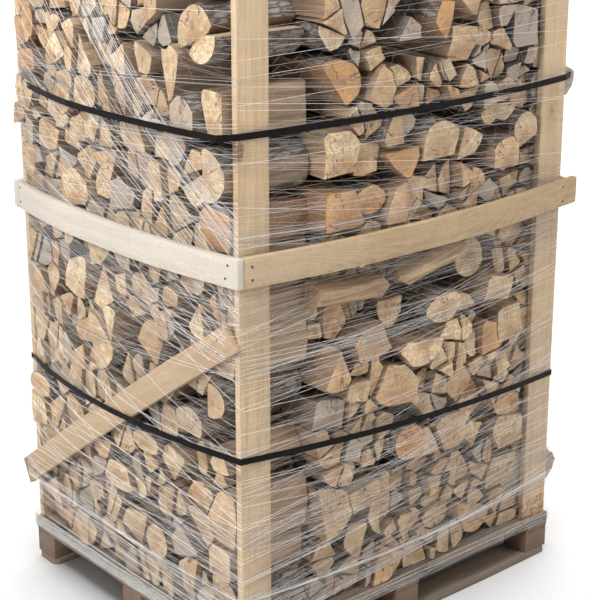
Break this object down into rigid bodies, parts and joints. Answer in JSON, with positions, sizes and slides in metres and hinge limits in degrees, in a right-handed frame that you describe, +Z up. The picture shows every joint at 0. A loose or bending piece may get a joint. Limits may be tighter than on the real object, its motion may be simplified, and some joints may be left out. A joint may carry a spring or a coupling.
{
  "type": "firewood bundle",
  "caption": "Pallet crate of split firewood: board posts and rails round stacked logs, with a diagonal brace, two plastic straps and a thin knitted net.",
  "frame": {"origin": "on the floor, under the middle of the crate", "axes": "+Z up; -Y is the long side on the right in the picture; -X is the short side on the left in the picture, where the first stack's log ends show"},
  "size_m": [1.3568, 1.1345, 2],
  "materials": {
    "pallet_wood": "weathered grey-brown sawn softwood",
    "block_wood": "rough pallet blocks, red-brown",
    "board_wood": "pale rough-sawn softwood boards with knots and nails",
    "log_wood": "split and sawn hardwood with bark",
    "strap_plastic": "black woven-pattern strapping",
    "net_yarn": "white knitted polyethylene yarn"
  },
  "bodies": {
    "root": {"skid_front": "pallet_wood", "block_front_left": "block_wood", "block_front_centre": "block_wood", "block_front_right": "block_wood", "skid_middle": "pallet_wood", "block_middle_left": "block_wood", "block_middle_centre": "block_wood", "block_middle_right": "block_wood", "skid_back": "pallet_wood", "block_back_left": "block_wood", "block_back_centre": "block_wood", "block_back_right": "block_wood", "stringer_left": "pallet_wood", "stringer_centre": "pallet_wood", "stringer_right": "pallet_wood", "deck_board_1": "pallet_wood", "deck_board_2": "pallet_wood", "deck_board_3": "pallet_wood", "deck_board_4": "pallet_wood", "deck_board_5": "pallet_wood", "deck_board_6": "pallet_wood", "deck_board_7": "pallet_wood", "post_front_left": "board_wood", "post_front_right": "board_wood", "post_back_left": "board_wood", "post_back_right": "board_wood", "rail_middle_left": "board_wood", "rail_middle_front": "board_wood", "rail_middle_right": "board_wood", "rail_middle_back": "board_wood", "rail_top_left": "board_wood", "rail_top_front": "board_wood", "rail_top_right": "board_wood", "rail_top_back": "board_wood", "brace": "board_wood", "strap_upper": "strap_plastic", "strap_lower": "strap_plastic", "net_hem": "net_yarn", "logs_left_stack": "log_wood", "logs_front_row": "log_wood", "logs_second_row": "log_wood", "logs_third_row": "log_wood", "logs_back_row": "log_wood", "across_log_left": "log_wood", "across_log_right": "log_wood", "loose_log_01": "log_wood", "loose_log_02": "log_wood", "loose_log_03": "log_wood", "loose_log_04": "log_wood", "loose_log_05": "log_wood", "loose_log_06": "log_wood", "loose_log_07": "log_wood", "loose_log_08": "log_wood", "loose_log_09": "log_wood", "loose_log_10": "log_wood", "loose_log_11": "log_wood", "loose_log_12": "log_wood", "loose_log_13": "log_wood", "loose_log_14": "log_wood", "loose_log_15": "log_wood"}
  },
  "joints": []
}
